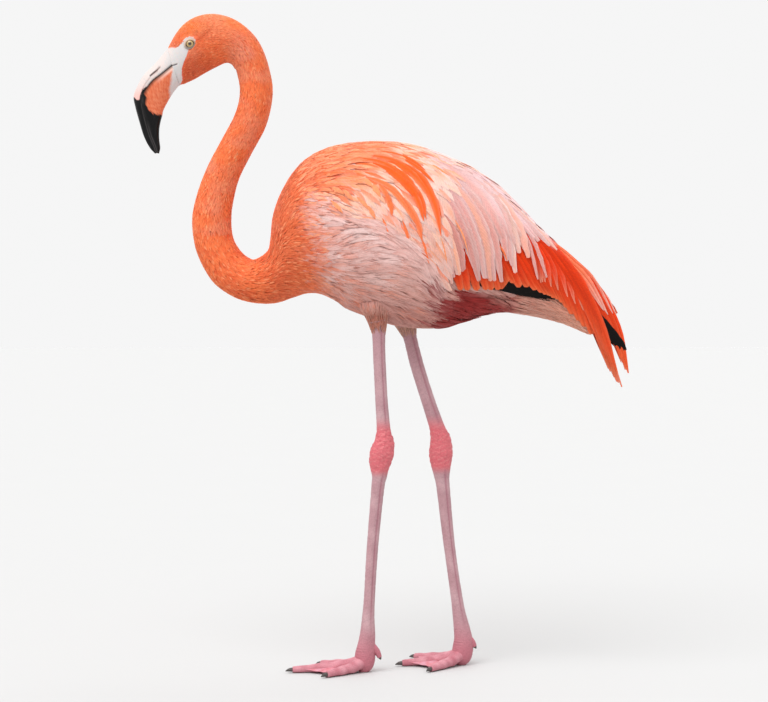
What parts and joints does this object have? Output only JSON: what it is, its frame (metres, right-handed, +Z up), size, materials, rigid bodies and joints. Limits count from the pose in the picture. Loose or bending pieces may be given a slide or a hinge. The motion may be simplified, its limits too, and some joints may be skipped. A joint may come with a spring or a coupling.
{
  "type": "flamingo model",
  "caption": "Life-size still model of an adult American flamingo, standing on both feet with its neck in an S-curve and its wings folded.",
  "frame": {"origin": "on the floor, under the middle of the model's outline seen from above", "axes": "+Z up; the bird looks along -X; its left side is at -Y and its right side at +Y"},
  "size_m": [0.8287, 0.215, 1.1033],
  "materials": {
    "coat_head": "short fine feathers, orange",
    "coat_body": "soft fluffy feathers, pale pink",
    "coat_wing": "smooth overlapping feathers, pink to orange-red",
    "bill_upper": "horn, satin, with a black tip",
    "bill_lower": "horn, satin, with a black tip",
    "eye": "wet gloss",
    "leg_skin": "fine scutes, matt",
    "joint_skin": "fine scutes, matt",
    "claw": "horn, satin"
  },
  "bodies": {
    "root": {"head": "coat_head", "neck_upper": "coat_head", "neck_middle": "coat_head", "neck_lower": "coat_head", "bill_upper": "bill_upper", "bill_lower": "bill_lower", "torso": "coat_body", "tail": "coat_body", "eye_left": "eye", "eye_right": "eye", "wing_left": "coat_wing", "wing_right": "coat_wing", "thigh_left": "coat_body", "tibia_left": "leg_skin", "ankle_left": "joint_skin", "tarsus_left": "leg_skin", "foot_left": "leg_skin", "claw_inner_left": "claw", "claw_middle_left": "claw", "claw_outer_left": "claw", "claw_hind_left": "claw", "thigh_right": "coat_body", "tibia_right": "leg_skin", "ankle_right": "joint_skin", "tarsus_right": "leg_skin", "foot_right": "leg_skin", "claw_inner_right": "claw", "claw_middle_right": "claw", "claw_outer_right": "claw", "claw_hind_right": "claw"}
  },
  "joints": []
}
